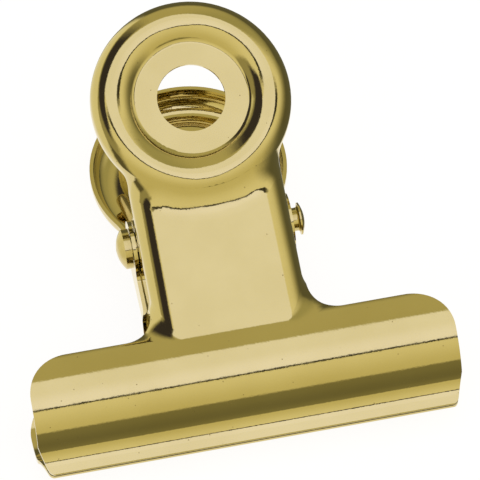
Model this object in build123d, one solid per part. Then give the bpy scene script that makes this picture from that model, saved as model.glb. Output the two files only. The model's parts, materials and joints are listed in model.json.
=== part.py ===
from build123d import *

import os
from math import acos, asin, atan2, ceil, cos, degrees, hypot, pi, radians, sin, sqrt

# A bulldog clip of polished sheet metal: two stamped plates, a loose pivot rivet and a torsion spring.
#
# A plate is worked out in its own frame: X runs across the clip, Y along the neck from the jaw to the
# finger ring, Z out of the neck panel, and the pivot axis is the X axis. The rear plate then lies on its
# back on the table, and the front plate is turned about the pivot until the lips meet.

# The sheet and the closed clip, in mm and degrees
sheet = 0.45
half_angle = 11.2
crest_height = 10.0
nest_gap = 0.1

# The jaw: lip, throat and barrel
jaw_width = 50.0
lip_width = 48.0
pivot_to_lip = 26.45
lip_gap = 0.2
lip_height = 1.1
lip_round = 0.2
lip_lean = 15.0
throat_radius = 2.9
barrel_radius = 6.6
shoulder_angle = 43.5
jaw_corner_radius = 5.0
lip_corner_radius = 1.0

# The neck, its side walls and its ears
panel_depth = 1.87
panel_lean = 3.6
neck_half_width = 9.0
bend_radius = 2.8
root_radius = 3.5
root_flare = 0.3
root_depth = 4.1
wall_gap = 1.2
wall_foot_rise = 4.29134
wall_foot_lean = 1.3
wall_waist = 0.8
wall_top = 7.2
wall_corner_radius = 1.5
rim_depth = 3.1
ear_radius = 3.2
ear_fillet = 1.4

# The finger ring
ring_from_pivot = 14.6
ring_radius = 11.75
bead_circle = 9.3
disc_radius = 6.5
disc_depth = 1.2
bead_foot_radius = 0.8
ring_root_radius = 5.0
hole_radius = 4.0

# The rivet
pin_radius = 1.375
pin_clearance = 0.05
head_radius = 2.35
head_side = 0.8
head_dome = 0.85
peened_radius = 1.9
peened_side = 0.2
peened_dome = 0.45
peened_fillet = 0.3
head_gap = 0.06
end_float = 0.95

# The spring
wire = 1.6
coil_radius = 2.75
turn_gap = 0.5
whole_turns = 6
leg_reach = 12.6
leg_clearance = 0.6

# How far the solids that shape the sheet run past it
beyond = 1.0
below = 6.0


def leaning(angle):
    """Unit vector that leans from +Z towards +Y by an angle."""
    return Vector(0, sin(radians(angle)), cos(radians(angle)))


def arc(centre, radius, start, end):
    """Arc about a centre in the YZ plane, between two angles measured from +Z towards +Y."""
    stops = (start, (start + end) / 2, end)
    return ThreePointArc(*[centre + leaning(angle) * radius for angle in stops])


# The jaw's outer face, from the lip up: a straight lip, a hollow throat and a round barrel whose crest
# is level with the crest of the ring's bead
lip_turn = half_angle - lip_lean
lip_out = leaning(lip_turn)
lip_up = leaning(lip_turn + 90)
lip_tip = Vector(0, -pivot_to_lip, lip_gap / 2).rotate(Axis.X, -half_angle)
lip_edge = lip_tip + lip_out * sheet
throat = lip_edge + lip_up * lip_height + lip_out * throat_radius
barrel_height = crest_height - barrel_radius
throat_to_barrel = sqrt((barrel_radius + throat_radius) ** 2 - (throat.Z - barrel_height) ** 2)
barrel = Vector(0, throat.Y + throat_to_barrel, barrel_height)
barrel_turn = -degrees(asin(throat_to_barrel / (barrel_radius + throat_radius)))
shoulder = barrel + leaning(shoulder_angle) * barrel_radius
wall_foot = shoulder.Y + wall_foot_rise


def jaw_body(inset, overrun):
    """Solid behind the jaw's outer face, lip edge rounded, when that face is moved in by an inset."""
    start = lip_edge - lip_out * inset - lip_up * overrun
    lip_end = start + lip_up * (lip_height + overrun)
    back = barrel + leaning(90) * (barrel_radius - inset)
    floor = -below - overrun
    under = start - lip_out * barrel_radius
    edge_middle = start + (lip_up - lip_out) * lip_round
    outline = [
        arc(edge_middle, lip_round, lip_turn - 90, lip_turn),
        Line(start + lip_up * lip_round, lip_end),
        arc(throat, throat_radius + inset, lip_turn + 180, barrel_turn + 180),
        arc(barrel, barrel_radius - inset, barrel_turn, 90),
        Polyline(back, (0, back.Y, floor), (0, under.Y, floor), under, start - lip_out * lip_round),
    ]
    return extrude(make_face(outline), jaw_width / 2 + overrun, dir=(1, 0, 0), both=True)


def neck_body(inset, overrun, half_width):
    """Solid under the neck panel and between its walls, with the two long bends rounded.

    The panel leans: it is nearest to the crests at the jaw, and falls away from them towards the ring.
    """
    lean = radians(panel_lean)
    floor = -below - overrun
    ends = (barrel.Y, ring_from_pivot)
    level = crest_height - panel_depth
    panel = [(0, y, level - (inset + y * sin(lean)) / cos(lean)) for y in ends]
    outline = Polyline(*panel, (0, ring_from_pivot, floor), (0, barrel.Y, floor), close=True)
    block = extrude(make_face(outline), half_width - inset, dir=(1, 0, 0), both=True)
    bends = [e for e in block.edges() if abs((e % 0.5).Y) > 0.5 and e.center().Z > 0]
    rounded = fillet(bends, bend_radius - inset)
    return rounded - Pos(0, ring_from_pivot, 0) * Cylinder(bead_circle, 4 * crest_height)


def ring_body(inset, overrun):
    """Solid under the ring's face, turned about the ring's axis: flat disc, hollow foot, bead and rim."""
    run = bead_circle - disc_radius
    slope = 2 * atan2(disc_depth, run)
    crest_radius = run / sin(slope) - bead_foot_radius
    side_radius = ring_radius - bead_circle
    foot = Vector(0, disc_radius, bead_foot_radius - disc_depth)
    crest = Vector(0, bead_circle, -crest_radius)
    side = Vector(0, bead_circle, -side_radius)
    rim = side + leaning(90) * (side_radius - inset)
    disc = -disc_depth - inset
    floor = -crest_height - below - overrun
    outline = [
        Polyline(rim, (0, rim.Y, floor), (0, 0, floor), (0, 0, disc), (0, disc_radius, disc)),
        arc(foot, bead_foot_radius + inset, 180, 180 - degrees(slope)),
        arc(crest, crest_radius - inset, -degrees(slope), 0),
        arc(side, side_radius - inset, 0, 90),
    ]
    return Pos(0, ring_from_pivot, crest_height) * revolve(make_face(outline), Axis.Z)


def formed_body(inset, overrun, half_width):
    """The stamped form as one solid, with hollow fillets where the neck runs into the ring and the jaw."""
    neck = neck_body(inset, overrun, half_width)
    ring = ring_body(inset, overrun)
    jaw = jaw_body(inset, overrun)
    handle = neck + ring
    handle = fillet(new_edges(neck, ring, combined=handle), ring_root_radius + inset)
    form = handle + jaw
    return fillet(new_edges(handle, jaw, combined=form), root_radius + inset)


def plan_cut(half_width):
    """Prism that keeps the sheet inside its outline from above: lip, shoulders, flared root and ring."""
    root = half_width + root_flare
    ring_end = ring_from_pivot + ring_radius + beyond
    right = [
        (lip_width / 2, lip_edge.Y),
        (jaw_width / 2, shoulder.Y - 2 * jaw_corner_radius),
        (jaw_width / 2, shoulder.Y),
        (root, shoulder.Y),
        (root, wall_foot),
        (ring_radius + beyond, wall_foot),
        (ring_radius + beyond, ring_end),
    ]
    left = [(-x, y) for x, y in reversed(right)]
    outline = make_face(Polyline(*right, *left, close=True))
    rounding = ((right[0], lip_corner_radius), (right[2], jaw_corner_radius), (right[3], root_radius))
    for (x, y), radius in rounding:
        corners = [v for v in outline.vertices() if hypot(abs(v.X) - x, v.Y - y) < sheet]
        outline = fillet(corners, radius)
    return extrude(outline, crest_height + below + beyond, both=True)


def edge_cut():
    """Prism that takes away what lies behind the sheet's free edge: walls, ears, ring rim and jaw root."""
    edge = crest_height - rim_depth
    root = crest_height - root_depth
    behind = -crest_height - below - beyond
    tilt = radians(half_angle)

    def wall_edge(y):
        return (y, (wall_gap / 2 - y * sin(tilt)) / cos(tilt))

    ring_end = ring_from_pivot + ring_radius + beyond
    corners = [
        (wall_foot - wall_foot_lean, root),
        wall_edge(wall_foot),
        wall_edge(wall_waist),
        (wall_top, edge),
        (ring_end, edge),
        (ring_end, behind),
        (barrel.Y, behind),
        (barrel.Y, root),
    ]
    outline = make_face(Polyline(*corners, close=True))
    for y, z in (corners[0], corners[1], corners[3]):
        turn = [v for v in outline.vertices() if hypot(v.X - y, v.Y - z) < sheet]
        outline = fillet(turn, wall_corner_radius)
    outline = outline - Circle(ear_radius)
    on_ear = [v for v in outline.vertices() if abs(hypot(v.X, v.Y) - ear_radius) < sheet / 10]
    outline = fillet(on_ear, ear_fillet)
    return extrude(Plane.YZ * outline, jaw_width, both=True)


def plate(half_width):
    """One stamping: the skin between two formed bodies a sheet apart, trimmed and pierced."""
    skin = formed_body(0, 0, half_width) - formed_body(sheet, beyond, half_width)
    ring_hole = Pos(0, ring_from_pivot, crest_height) * Cylinder(hole_radius, crest_height)
    pin_hole = Rot(0, 90, 0) * Cylinder(pin_radius + pin_clearance, 2 * half_width + beyond)
    return (skin & plan_cut(half_width)) - edge_cut() - ring_hole - pin_hole


def dome(radius, height):
    """Radius and half angle of the round end of a head that is a given radius wide and a height deep."""
    round_radius = (radius**2 + height**2) / (2 * height)
    return round_radius, degrees(asin(radius / round_radius))


def rivet(half_width):
    """Loose rivet, turned about its axis: domed head, shank and peened head."""
    head_seat = -half_width - head_gap
    head_rim = head_seat - head_side
    head_top = Vector(0, 0, head_rim - head_dome)
    head_round, head_half = dome(head_radius, head_dome)
    peened_seat = half_width + end_float
    peened_rim = peened_seat + peened_side
    peened_top = Vector(0, 0, peened_rim + peened_dome)
    peened_round, peened_half = dome(peened_radius, peened_dome)
    fillet_middle = Vector(0, pin_radius + peened_fillet, peened_seat - peened_fillet)
    outline = [
        arc(head_top + leaning(0) * head_round, head_round, 180, 180 - head_half),
        Polyline(
            (0, head_radius, head_rim),
            (0, head_radius, head_seat),
            (0, pin_radius, head_seat),
            (0, pin_radius, peened_seat - peened_fillet),
        ),
        arc(fillet_middle, peened_fillet, 270, 360),
        Polyline(
            (0, pin_radius + peened_fillet, peened_seat),
            (0, peened_radius, peened_seat),
            (0, peened_radius, peened_rim),
        ),
        arc(peened_top - leaning(0) * peened_round, peened_round, peened_half, 0),
        Line(peened_top, head_top),
    ]
    return Rot(0, 90, 0) * revolve(make_face(outline), Axis.Z)


def biarc(start, start_way, end, end_way):
    """Two arcs that leave the start and reach the end along the given unit vectors, and meet smoothly."""
    step = end - start
    lean = step.dot(start_way + end_way)
    spread = 2 * (1 - start_way.dot(end_way))
    reach = (sqrt(lean**2 + spread * step.dot(step)) - lean) / spread
    middle = (start + end + (start_way - end_way) * reach) * 0.5
    first = Edge.make_tangent_arc(start, start_way, middle)
    second = Edge.make_tangent_arc(middle, first % 1, end)
    return [first, second]


def spring():
    """Torsion spring round the rivet, one unbroken wire: rear leg, coil and front leg.

    The coil runs along X, symmetric about the closed clip's middle plane. Its legs leave it along the
    coil's own direction, and their tips lie in the hollows of the two beads.
    """
    tip_depth = crest_height - sheet - wire / 2 - leg_clearance
    tip_distance = hypot(leg_reach, tip_depth)
    off_plate = degrees(atan2(tip_depth, leg_reach) + acos(coil_radius / tip_distance))
    first = -off_plate - half_angle
    wound = 360 * whole_turns + 360 + 2 * first
    pitch = wire + turn_gap
    climb = pitch / (2 * pi * coil_radius)
    half_coil = pitch * wound / 360 / 2

    def on_coil(angle):
        turn = radians(first - angle)
        x = -half_coil + pitch * angle / 360
        return Vector(x, coil_radius * cos(turn), coil_radius * sin(turn))

    def along_coil(angle):
        turn = radians(first - angle)
        return Vector(climb, sin(turn), -cos(turn)).normalized()

    leg = sqrt(tip_distance**2 - coil_radius**2) * sqrt(1 + climb**2)
    halves = ceil(wound / 180)
    stops = [wound * i / halves for i in range(halves + 1)]
    start, end = on_coil(0), on_coil(wound)
    edges = [Edge.make_line(start - along_coil(0) * leg, start)]
    for a, b in zip(stops, stops[1:]):
        edges += biarc(on_coil(a), along_coil(a), on_coil(b), along_coil(b))
    edges.append(Edge.make_line(end, end + along_coil(wound) * leg))
    path = Wire(edges)
    section = Plane(path @ 0, z_dir=path % 0) * Circle(wire / 2)

    # The least gap between turns, measured on points of the coil a half turn or more apart
    points = [on_coil(wound * i / (72 * halves)) for i in range(72 * halves + 1)]
    apart = ceil(180 / wound * 72 * halves)
    gaps = [(p - q).length for i, p in enumerate(points) for q in points[i + apart :: 4]]
    print(f"spring: least gap to itself {min(gaps) - wire:.3f} mm, wire {path.length:.1f} mm long")
    return sweep(section, path=path)


# Each piece about the pivot: the rear plate on its back, the front plate turned so that the lips meet
rear_half_width = neck_half_width + nest_gap + sheet
pieces = {
    "rear_plate": Rot(0, 180, 0) * plate(rear_half_width),
    "front_plate": Rot(2 * half_angle, 0, 0) * plate(neck_half_width),
    "pivot_rivet": rivet(rear_half_width),
    "torsion_spring": Rot(half_angle, 0, 0) * spring(),
}

# The clip then stands with the rear bead and barrel on the table, centred along Y over the origin
extent = pieces["rear_plate"].bounding_box().add(pieces["front_plate"].bounding_box())
place = Pos(0, -(extent.min.Y + extent.max.Y) / 2, -extent.min.Z)
os.makedirs("parts", exist_ok=True)
for name, piece in pieces.items():
    export_step(place * piece, f"parts/{name}.step")
print(f"pivot at {place.position}, size {extent.size}")
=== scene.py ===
"""Looks of a bulldog clip of lacquered brass sheet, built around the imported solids, in metres."""

import json
from math import acos, atan2, cos, hypot, pi, radians, sin, sqrt

import bpy
import numpy as np
from mathutils import Matrix, Vector


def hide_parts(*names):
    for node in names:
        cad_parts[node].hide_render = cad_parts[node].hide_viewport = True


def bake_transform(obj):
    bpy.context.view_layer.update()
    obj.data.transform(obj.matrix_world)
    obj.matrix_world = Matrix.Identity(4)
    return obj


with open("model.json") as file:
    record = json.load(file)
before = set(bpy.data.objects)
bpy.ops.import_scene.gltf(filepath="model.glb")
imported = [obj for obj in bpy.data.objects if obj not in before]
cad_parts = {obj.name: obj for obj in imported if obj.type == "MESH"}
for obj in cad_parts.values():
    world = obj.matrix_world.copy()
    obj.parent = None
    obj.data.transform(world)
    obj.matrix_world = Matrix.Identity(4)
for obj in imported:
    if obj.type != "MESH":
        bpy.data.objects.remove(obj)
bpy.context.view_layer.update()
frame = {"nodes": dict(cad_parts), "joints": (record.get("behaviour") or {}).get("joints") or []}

MM = 0.001
DEGREES = 180 / pi

# The hinge's place, in metres
PIVOT = Vector(next(joint["pos_m"] for joint in frame["joints"] if joint["name"] == "jaw_hinge"))

# The part's sizes that the spring needs, in mm and degrees
HALF_ANGLE = 11.2
BEAD_DEPTH = 10.0
SHEET = 0.45
WIRE = 1.6
COIL_RADIUS = 2.75
TURN_GAP = 0.5
WHOLE_TURNS = 6
LEG_REACH = 12.6
LEG_CLEARANCE = 0.6

# Points along the spring's coil and each leg, and round the wire
COIL_POINTS = 401
LEG_POINTS = 12
WIRE_SIDES = 28

# Rounding of the wire's tips, in wire radii: how far back from the end, and how wide there
TIP_BACK = (0.0, 0.0, 0.05, 0.16, 0.32)
TIP_WIDE = (0.0, 0.66, 0.84, 0.95, 1.0)

# The camera, from the photograph's own outline, in degrees and metres, with lens and sensor in mm; it
# aims this far right of the pivot and below it
CAMERA_AZIMUTH = -9.705
CAMERA_ELEVATION = 56.017
CAMERA_ROLL = 1.916
CAMERA_DISTANCE = 901.2 * MM
CAMERA_LENS = 577.15
SENSOR_WIDTH = 36
CAMERA_RIGHT = 3.43 * MM
CAMERA_DOWN = 0.68 * MM

# The floor: half its width, its drop under the clip, and how it shows to the camera
FLOOR_HALF = 1.5
FLOOR_DROP = 0.02 * MM
FLOOR_GREY = (0.85, 0.85, 0.85, 1)
FLOOR_GLOW = (1.0, 1.0, 1.015, 1)
GLOW_STRENGTH = 1.24
GLOW_SHARE = 0.72

# Colours of the finishes
BRASS_DEEP = (0.655, 0.555, 0.250, 1)
BRASS_PALE = (0.685, 0.585, 0.275, 1)
PIT_BROWN = (0.20, 0.14, 0.05, 1)
RIVET_PALE = (0.665, 0.56, 0.25, 1)
RIVET_DEEP = (0.58, 0.475, 0.19, 1)
WIRE_DEEP = (0.55, 0.43, 0.18, 1)
WIRE_PALE = (0.66, 0.53, 0.25, 1)

# Colours of the light tent
WHITE = (1.0, 1.0, 1.0, 1)
GOLD_HIGH = (0.92, 0.845, 0.55, 1)
GOLD_LOW = (0.72, 0.64, 0.325, 1)
OLIVE_SIDE = (0.44, 0.402, 0.19, 1)
OLIVE_BACK = (0.545, 0.487, 0.235, 1)
DARK_RIGHT = (0.13, 0.122, 0.065, 1)
DULL_LEFT = (0.38, 0.34, 0.17, 1)
DARK_LEFT = (0.13, 0.115, 0.06, 1)
BLACK_BAR = (0.045, 0.038, 0.040, 1)
PALE_LEFT = (0.90, 0.84, 0.57, 1)
DARK_FRONT_HIGH = (0.245, 0.22, 0.10, 1)
DARK_FRONT_LOW = (0.195, 0.175, 0.08, 1)
PALE_TABLE = (0.97, 0.91, 0.76, 1)
FRAME_BLACK = (0.05, 0.045, 0.03, 1)
BOX_BACK = (1.03, 0.995, 0.99, 1)
BOX_FRONT = (1.12, 1.09, 1.21, 1)

# Edges of the soft box, in degrees from the zenith, slants of its corners, and widths of frame and edges
BOX_FRONT_EDGE = 40.0
BOX_BACK_EDGE = -13.5
BOX_RIGHT_EDGE = 25
FRONT_MIDDLE_LEFT = 1
FRONT_MIDDLE_RIGHT = 13
FRONT_SLANT = 1.3
BACK_RIGHT_SLANT = 0.9
BACK_RIGHT_CUT = 18
BACK_LEFT_CUT = 31.5
BOX_FRAME_SLANT = 0.35
BOX_FRAME_WIDTH = 3.9
BOX_FRAME_SOFTNESS = 1.0
BOX_EDGE_SOFTNESS = 1.7


class Value:
    """An output socket of a node tree; sums, products and powers of numbers add Math nodes."""

    def __init__(self, nodes, socket):
        self.nodes = nodes
        self.socket = socket

    def __add__(self, other):
        return self.nodes.math("ADD", self, other)

    def __sub__(self, other):
        return self.nodes.math("SUBTRACT", self, other)

    def __rsub__(self, other):
        return self.nodes.math("SUBTRACT", other, self)

    def __neg__(self):
        return 0 - self

    def __mul__(self, other):
        return self.nodes.math("MULTIPLY", self, other)

    def __truediv__(self, other):
        return self.nodes.math("DIVIDE", self, other)

    def __pow__(self, other):
        return self.nodes.math("POWER", self, other)

    __radd__ = __add__
    __rmul__ = __mul__


class Nodes:
    """The node tree of a finish, with one way to add a node and short names for the common ones."""

    def __init__(self, owner):
        owner.use_nodes = True
        self.tree = owner.node_tree
        self.tree.nodes.clear()

    def add(self, kind, settings, values, output=0):
        """Adds a node: its settings first, then numbers or links for its sockets."""
        node = self.tree.nodes.new(kind)
        for name, setting in settings.items():
            setattr(node, name, setting)
        for name, value in values.items():
            if isinstance(value, Value):
                self.tree.links.new(value.socket, node.inputs[name])
            else:
                node.inputs[name].default_value = value
        return Value(self, node.outputs[output]) if node.outputs else node

    def math(self, operation, *terms):
        return self.add("ShaderNodeMath", {"operation": operation}, dict(enumerate(terms)))

    def least(self, first, second):
        return self.math("MINIMUM", first, second)

    def most(self, first, second):
        return self.math("MAXIMUM", first, second)

    def angle(self, across, along):
        """Angle whose tangent is the first length over the second, in degrees."""
        return self.math("ARCTAN2", across, along) * DEGREES

    def place(self):
        return self.add("ShaderNodeTexCoord", {}, {}, "Object")

    def split(self, vector):
        return [self.add("ShaderNodeSeparateXYZ", {}, {"Vector": vector}, axis) for axis in "XYZ"]

    def join(self, x, y, z):
        return self.add("ShaderNodeCombineXYZ", {}, {"X": x, "Y": y, "Z": z})

    def stretch(self, vector, scale):
        return self.add("ShaderNodeVectorMath", {"operation": "MULTIPLY"}, {0: vector, 1: scale})

    def noise(self, vector, size, detail=2.0, distortion=0.0):
        """Noise from 0 to 1 whose blots are about a given size across, in metres."""
        values = {"Vector": vector, "Scale": 1 / size, "Detail": detail, "Distortion": distortion}
        return self.add("ShaderNodeTexNoise", {}, values, "Fac")

    def rise(self, value, low, high):
        """Smooth step from 0 at low to 1 at high."""
        settings = {"interpolation_type": "SMOOTHSTEP"}
        return self.add("ShaderNodeMapRange", settings, {"Value": value, "From Min": low, "From Max": high})

    def between(self, value, start, full, fading, end):
        """1 from full to fading, and 0 before start and after end, with smooth steps."""
        return self.rise(value, start, full) * (1 - self.rise(value, fading, end))

    def mix(self, share, first, second):
        """Colour between two colours, by a share from 0 to 1."""
        return self.add("ShaderNodeMix", {"data_type": "RGBA"}, {0: share, 6: first, 7: second}, 2)

    def bump(self, height, depth, below=None):
        """Surface normal of a relief whose full height is a given depth, in metres."""
        values = {"Height": height, "Distance": depth, "Strength": 1.0}
        if below is not None:
            values["Normal"] = below
        return self.add("ShaderNodeBump", {}, values)


def new_finish(name):
    """New material with an empty node tree."""
    material = bpy.data.materials.new(name)
    return material, Nodes(material)


def surface(nodes, values):
    """Principled shader straight into the finish's output."""
    shader = nodes.add("ShaderNodeBsdfPrincipled", {}, values)
    nodes.add("ShaderNodeOutputMaterial", {}, {"Surface": shader})


def lacquered_brass():
    """Rolled sheet, polished and lacquered: faint clouding, tiny pits and a fine rolled grain."""
    material, nodes = new_finish("lacquered_brass")
    place = nodes.place()
    cloud = nodes.noise(place, size=7 * MM, detail=4.0)
    smudge = nodes.noise(place, size=2.4 * MM, detail=5.0, distortion=0.6)
    grain = nodes.noise(place, size=0.3 * MM)
    wave = nodes.noise(place, size=3.2 * MM, detail=1.0)
    pit_spacing = 1.5 * MM
    cells = nodes.add("ShaderNodeTexVoronoi", {}, {"Vector": place, "Scale": 1 / pit_spacing}, "Distance")
    pit = 1 - nodes.rise(cells, 0.035, 0.07)
    clear = nodes.mix(nodes.rise(cloud, 0.3, 0.7), BRASS_DEEP, BRASS_PALE)
    colour = nodes.mix(pit * 0.55, clear, PIT_BROWN)
    rough = 0.055 + 0.05 * nodes.rise(smudge, 0.35, 0.75) + 0.3 * pit
    coat = 0.9 - 0.3 * nodes.rise(smudge, 0.55, 0.8) - 0.5 * pit
    waved = nodes.bump(wave, depth=0.0030 * MM)
    surface(nodes, {
        "Base Color": colour,
        "Metallic": 1.0,
        "Roughness": rough,
        "Coat Weight": coat,
        "Coat Roughness": 0.03,
        "Coat IOR": 1.5,
        "Normal": nodes.bump(grain, depth=0.0040 * MM, below=waved),
    })
    return material


def turned_brass():
    """Rivet: rings left by turning and peening about the pivot, in the same lacquered brass."""
    material, nodes = new_finish("turned_brass")
    place = nodes.place()
    x, y, z = nodes.split(place)
    up = z - PIVOT.z
    along = y - PIVOT.y
    radius = (up * up + along * along) ** 0.5
    ring_drift = 0.6
    rings = nodes.noise(nodes.join(radius, x * ring_drift, 0.0), size=0.07 * MM)
    blots = nodes.noise(place, size=1.2 * MM, detail=4.0)
    colour = nodes.mix(nodes.rise(blots, 0.35, 0.75), RIVET_PALE, RIVET_DEEP)
    rough = 0.09 + 0.07 * rings + 0.05 * blots
    surface(nodes, {
        "Base Color": colour,
        "Metallic": 1.0,
        "Roughness": rough,
        "Coat Weight": 0.6,
        "Coat Roughness": 0.05,
        "Normal": nodes.bump(rings, depth=0.0009 * MM),
    })
    return material


def drawn_wire():
    """Spring wire: drawing lines along the wire and a patchy plating, on the wire's own map."""
    material, nodes = new_finish("drawn_wire")
    along = nodes.add("ShaderNodeUVMap", {"uv_map": "wire_map"}, {})
    line_stretch = (0.012, 1.0, 0.0)
    lines = nodes.noise(nodes.stretch(along, line_stretch), size=0.09 * MM, detail=3.0)
    patch = nodes.noise(nodes.place(), size=1.6 * MM, detail=4.0)
    colour = nodes.mix(nodes.rise(patch, 0.35, 0.7), WIRE_DEEP, WIRE_PALE)
    rough = 0.13 + 0.10 * lines + 0.06 * patch
    surface(nodes, {
        "Base Color": colour,
        "Metallic": 1.0,
        "Roughness": rough,
        "Coat Weight": 0.3,
        "Coat Roughness": 0.08,
        "Normal": nodes.bump(lines, depth=0.0012 * MM),
    })
    return material


def spring_path():
    """Centre line of the torsion spring: points, ways along it and ways out from the coil's axis.

    The coil is a helix about the pivot, x = x0 + pitch t, (y, z) = radius (cos, sin) of first - t, turned
    by half the angle between the plates. The legs run straight on along the helix's end tangents, with
    their tips in the hollows of the two beads.
    """
    lift = radians(HALF_ANGLE)
    tip_depth = BEAD_DEPTH - SHEET - WIRE / 2 - LEG_CLEARANCE
    tip_distance = hypot(LEG_REACH, tip_depth)
    first = -atan2(tip_depth, LEG_REACH) - acos(COIL_RADIUS / tip_distance) - lift
    wound = 2 * pi * (WHOLE_TURNS + 1) + 2 * first
    pitch = WIRE + TURN_GAP
    climb = pitch / (2 * pi * COIL_RADIUS)
    slope = sqrt(1 + climb**2)
    leg = sqrt(tip_distance**2 - COIL_RADIUS**2) * slope

    angle = np.linspace(0, wound, COIL_POINTS)
    turn = first - angle + lift
    out = np.stack([np.zeros_like(turn), np.cos(turn), np.sin(turn)], axis=1)
    ways = np.stack([np.full_like(turn, climb), np.sin(turn), -np.cos(turn)], axis=1) / slope
    points = out * COIL_RADIUS
    points[:, 0] = pitch * (angle - wound / 2) / (2 * pi)

    steps = np.linspace(1, 0, LEG_POINTS, endpoint=False)[:, None] * leg
    points = np.concatenate([points[:1] - ways[:1] * steps, points, points[-1:] + ways[-1:] * steps[::-1]])
    ends = np.ones((LEG_POINTS, 1))
    ways = np.concatenate([ends * ways[:1], ways, ends * ways[-1:]])
    out = np.concatenate([ends * out[:1], out, ends * out[-1:]])
    return points * MM + np.array(PIVOT), ways, out


def wire_faces(rings):
    """Quads between neighbouring circles of a tube, and a fan of triangles over each end's middle point."""
    ring, side = np.meshgrid(np.arange(rings - 1), np.arange(WIRE_SIDES), indexing="ij")
    here = ring * WIRE_SIDES
    beyond = here + WIRE_SIDES
    beside = (side + 1) % WIRE_SIDES
    quads = np.stack([here + side, here + beside, beyond + beside, beyond + side], axis=-1)
    side = np.arange(WIRE_SIDES)
    beside = (side + 1) % WIRE_SIDES
    last = (rings - 1) * WIRE_SIDES
    first_middle = np.full_like(side, rings * WIRE_SIDES)
    first_tip = np.stack([first_middle, beside, side], axis=-1)
    last_tip = np.stack([first_middle + 1, last + side, last + beside], axis=-1)
    return quads.reshape(-1, 4), np.concatenate([first_tip, last_tip])


def map_wire(mesh, run, radius, face_sizes):
    """The wire's map: metres along the wire and once round it, cut open along its first side."""
    skin_points = len(run) * WIRE_SIDES
    along = np.concatenate([np.repeat(run, WIRE_SIDES), [run[0], run[-1]]])
    corners = np.zeros(len(mesh.loops), dtype=np.int64)
    mesh.loops.foreach_get("vertex_index", corners)
    side = np.where(corners < skin_points, corners % WIRE_SIDES, 0)
    face_of = np.repeat(np.arange(len(face_sizes)), face_sizes)
    at_cut = np.zeros(len(face_sizes), dtype=bool)
    np.logical_or.at(at_cut, face_of, side == WIRE_SIDES - 1)
    side = np.where(at_cut[face_of] & (side == 0), WIRE_SIDES, side)
    place = np.stack([along[corners], side * (2 * pi * radius / WIRE_SIDES)], axis=1)
    wire_map = mesh.uv_layers.new(name="wire_map")
    wire_map.data.foreach_set("uv", place.ravel().astype(np.float32))


def wire_piece(name, points, ways, out, radius):
    """Round wire: circles of a radius carried along a path, closed at both ends by a filed, flat tip.

    A point is path + radius (cos a out + sin a side); near each end the circles shrink over a small
    round to a flat face with its middle point.
    """
    tip_back = np.array(TIP_BACK)[:, None] * radius
    tip_wide = np.array(TIP_WIDE)
    start = points[:1] + ways[:1] * tip_back
    end = (points[-1:] - ways[-1:] * tip_back)[::-1]
    points = np.concatenate([start, points[1:-1], end])
    wide = np.concatenate([tip_wide, np.ones(len(points) - 2 * len(tip_wide)), tip_wide[::-1]]) * radius
    ends = np.ones((len(tip_wide), 1))
    ways = np.concatenate([ends * ways[:1], ways[1:-1], ends * ways[-1:]])
    out = np.concatenate([ends * out[:1], out[1:-1], ends * out[-1:]])
    side = np.cross(ways, out)
    round_wire = np.linspace(0, 2 * pi, WIRE_SIDES, endpoint=False)[None, :, None]
    circle = np.cos(round_wire) * out[:, None] + np.sin(round_wire) * side[:, None]
    skin = points[1:-1, None] + wide[1:-1, None, None] * circle[1:-1]
    vertices = np.concatenate([skin.reshape(-1, 3), points[:1], points[-1:]])

    quads, triangles = wire_faces(len(skin))
    mesh = bpy.data.meshes.new(name)
    mesh.from_pydata(vertices.tolist(), [], quads.tolist() + triangles.tolist())
    face_sizes = np.repeat([4, 3], [len(quads), len(triangles)])
    mesh.polygons.foreach_set("use_smooth", np.ones(len(face_sizes), dtype=bool))
    run = np.concatenate([[0], np.cumsum(np.linalg.norm(np.diff(points, axis=0), axis=1))])
    map_wire(mesh, run[1:-1], radius, face_sizes)
    mesh.update()
    piece = bpy.data.objects.new(name, mesh)
    bpy.context.scene.collection.objects.link(piece)
    return piece


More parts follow.
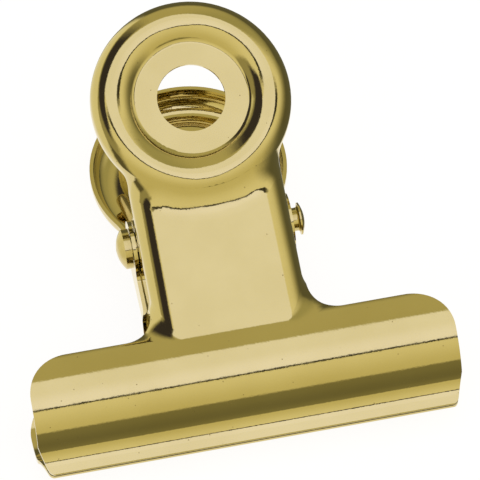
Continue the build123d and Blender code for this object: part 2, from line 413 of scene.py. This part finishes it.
def tent_walls(nodes, x, y, z):
    """Colours of the tent's walls by direction: gold in front, olive behind, dull and dark at the sides.

    Tilt is the angle from the zenith and azimuth the angle from the front towards the right, in degrees.
    Each area is laid over those before it, and its share is a product of smooth steps at its edges.
    """
    tiny = 1e-6
    level = (x * x + y * y + tiny) ** 0.5
    tilt = nodes.angle(level, z)
    azimuth = nodes.angle(x, -y)
    front = -y / level
    right = x / level

    def towards(heading):
        """Cosine of the level angle to a heading, from the front towards the right."""
        return front * cos(radians(heading)) + right * sin(radians(heading))

    gold = nodes.mix(nodes.rise(tilt, 38, 92), GOLD_HIGH, GOLD_LOW)
    olive = nodes.mix(nodes.rise(towards(190), 0.55, 0.95), OLIVE_SIDE, OLIVE_BACK)
    light = nodes.mix(nodes.rise(front, -0.5, 0.1), olive, gold)

    # Right: dark low down, from the side round to the back
    side_dark = nodes.rise(tilt, 48, 94) * nodes.rise(towards(100), 0.45, 0.95)
    back_dark = nodes.rise(tilt, 62, 80) * nodes.rise(towards(150), 0.6, 0.8)
    light = nodes.mix(nodes.most(side_dark, back_dark), light, DARK_RIGHT)

    # Left: dull, with a dark patch low down, a black bar high up and pale cloth under it, both with an
    # upper edge that sinks towards the front from the bar's bend on
    dull = nodes.between(azimuth, -112, -102, -66, -56) * nodes.rise(tilt, 50, 58)
    light = nodes.mix(dull, light, DULL_LEFT)
    patch = nodes.between(azimuth, -82, -76, -68, -60) * nodes.rise(tilt, 84, 94)
    light = nodes.mix(patch, light, DARK_LEFT)
    bar_bend = -110
    past_bend = nodes.most(azimuth - bar_bend, 0)
    bar_span = nodes.between(azimuth, -172, -142, -76, -66)
    bar_top = nodes.rise(tilt - 0.45 * past_bend, 20, 27)
    bar_foot = 1 - nodes.rise(tilt, 60, 70)
    light = nodes.mix(bar_span * bar_top * bar_foot, light, BLACK_BAR)
    pale_span = nodes.between(azimuth, -172, -162, -86, -76)
    pale_top = nodes.rise(tilt - 0.8 * past_bend, 66, 74)
    light = nodes.mix(pale_span * pale_top, light, PALE_LEFT)

    # Low in front: dark, which the jaw's throat shows, over the pale table, which starts higher at the left
    throat = nodes.mix(nodes.rise(tilt, 94, 124), DARK_FRONT_HIGH, DARK_FRONT_LOW)
    jaw_dark = nodes.rise(tilt, 89.5, 94) * nodes.rise(towards(9), 0.86, 0.95)
    light = nodes.mix(jaw_dark, light, throat)
    table_lift = 14 * nodes.rise(towards(300), -0.4, 0.3)
    table = nodes.rise(tilt + table_lift, 140, 146)
    return nodes.mix(table, light, PALE_TABLE)


def soft_box(nodes, walls, x, y, z):
    """Soft box laid over the walls, with a dark frame line along its front that widens towards its ends.

    Over is the angle from the zenith towards the front and across the one towards the right. The box is
    the polygon where the distance inside every edge is positive: its front edge has a flat middle and
    slanting ends, its right edge is straight, and its back edge has two cut corners.
    """
    over = nodes.angle(-y, z)
    across = nodes.angle(x, z)
    off_middle = nodes.most(nodes.most(across - FRONT_MIDDLE_RIGHT, FRONT_MIDDLE_LEFT - across), 0)
    front_edge = BOX_FRONT_EDGE - FRONT_SLANT * off_middle
    front_side = nodes.least(front_edge - over, BOX_RIGHT_EDGE - across)
    right_corner = over - BACK_RIGHT_SLANT * across + BACK_RIGHT_CUT
    corners = nodes.least(right_corner, over + across + BACK_LEFT_CUT)
    back_side = nodes.least(over - BOX_BACK_EDGE, corners)
    frame_side = front_side + BOX_FRAME_SLANT * off_middle
    frame_start = -BOX_FRAME_WIDTH - BOX_FRAME_SOFTNESS
    frame_line = nodes.rise(frame_side, frame_start, -BOX_FRAME_WIDTH) * nodes.rise(over, 5, 14)
    framed = nodes.mix(frame_line, walls, FRAME_BLACK)
    cloth = nodes.mix(nodes.rise(over, 6, 32), BOX_BACK, BOX_FRONT)

    # The back edge is twice as soft as the front edge
    inside = nodes.least(front_side, back_side / 2)
    return nodes.mix(nodes.rise(inside, -BOX_EDGE_SOFTNESS, 0.0), framed, cloth)


def studio_light():
    """World as a light tent that the metal mirrors, with plain white behind the clip for the camera."""
    world = bpy.data.worlds.new("light_tent")
    bpy.context.scene.world = world
    nodes = Nodes(world)
    direction = nodes.split(nodes.add("ShaderNodeTexCoord", {}, {}, "Generated"))
    light = soft_box(nodes, tent_walls(nodes, *direction), *direction)
    seen = nodes.add("ShaderNodeLightPath", {}, {}, "Is Camera Ray")
    shown = nodes.mix(seen, light, WHITE)
    background = nodes.add("ShaderNodeBackground", {}, {"Color": shown, "Strength": 1.0})
    nodes.add("ShaderNodeOutputWorld", {}, {"Surface": background})


def pale_floor():
    """Plain pale table top: white to the camera apart from the clip's soft shadow."""
    corners = np.array([(-1, -1, 0), (1, -1, 0), (1, 1, 0), (-1, 1, 0)]) * FLOOR_HALF
    mesh = bpy.data.meshes.new("floor")
    mesh.from_pydata(corners.tolist(), [], [(0, 1, 2, 3)])
    floor = bpy.data.objects.new("floor", mesh)
    bpy.context.scene.collection.objects.link(floor)
    floor.location.z = -FLOOR_DROP
    floor.visible_glossy = False
    material, nodes = new_finish("pale_table")
    lit = nodes.add("ShaderNodeBsdfDiffuse", {}, {"Color": FLOOR_GREY})
    glow = nodes.add("ShaderNodeEmission", {}, {"Color": FLOOR_GLOW, "Strength": GLOW_STRENGTH})
    seen = nodes.add("ShaderNodeLightPath", {}, {}, "Is Camera Ray")
    both = nodes.add("ShaderNodeMixShader", {}, {0: seen * GLOW_SHARE, 1: lit, 2: glow})
    nodes.add("ShaderNodeOutputMaterial", {}, {"Surface": both})
    mesh.materials.append(material)


def photo_camera():
    """Camera at the photograph's viewing angle, with its frame moved to where the clip lies in it."""
    azimuth = radians(CAMERA_AZIMUTH)
    elevation = radians(CAMERA_ELEVATION)
    roll = radians(CAMERA_ROLL)
    back = Vector((sin(azimuth) * cos(elevation), -cos(azimuth) * cos(elevation), sin(elevation)))
    level = Vector((cos(azimuth), sin(azimuth), 0))
    upright = back.cross(level)
    right = level * cos(roll) - upright * sin(roll)
    up = level * sin(roll) + upright * cos(roll)
    aim = PIVOT + right * CAMERA_RIGHT - up * CAMERA_DOWN
    data = bpy.data.cameras.new("photo_camera")
    data.sensor_fit = "HORIZONTAL"
    data.sensor_width = SENSOR_WIDTH
    data.lens = CAMERA_LENS
    camera = bpy.data.objects.new("photo_camera", data)
    turn = Matrix((right, up, back)).transposed().to_4x4()
    camera.matrix_world = Matrix.Translation(aim + back * CAMERA_DISTANCE) @ turn
    bpy.context.scene.collection.objects.link(camera)
    bpy.context.scene.camera = camera


def finish_node(node, material):
    """Gives a CAD node its finish, in the node's own material slots."""
    for slot in frame["nodes"][node].material_slots:
        slot.material = material


bpy.context.scene.view_settings.view_transform = "Standard"
photo_camera()
studio_light()
pale_floor()

brass = lacquered_brass()
finish_node("front_plate", brass)
finish_node("rear_plate", brass)
finish_node("pivot_rivet", turned_brass())

spring = wire_piece("spring_wire", *spring_path(), WIRE / 2 * MM)
spring.data.materials.append(drawn_wire())
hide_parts("torsion_spring")
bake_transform(spring)
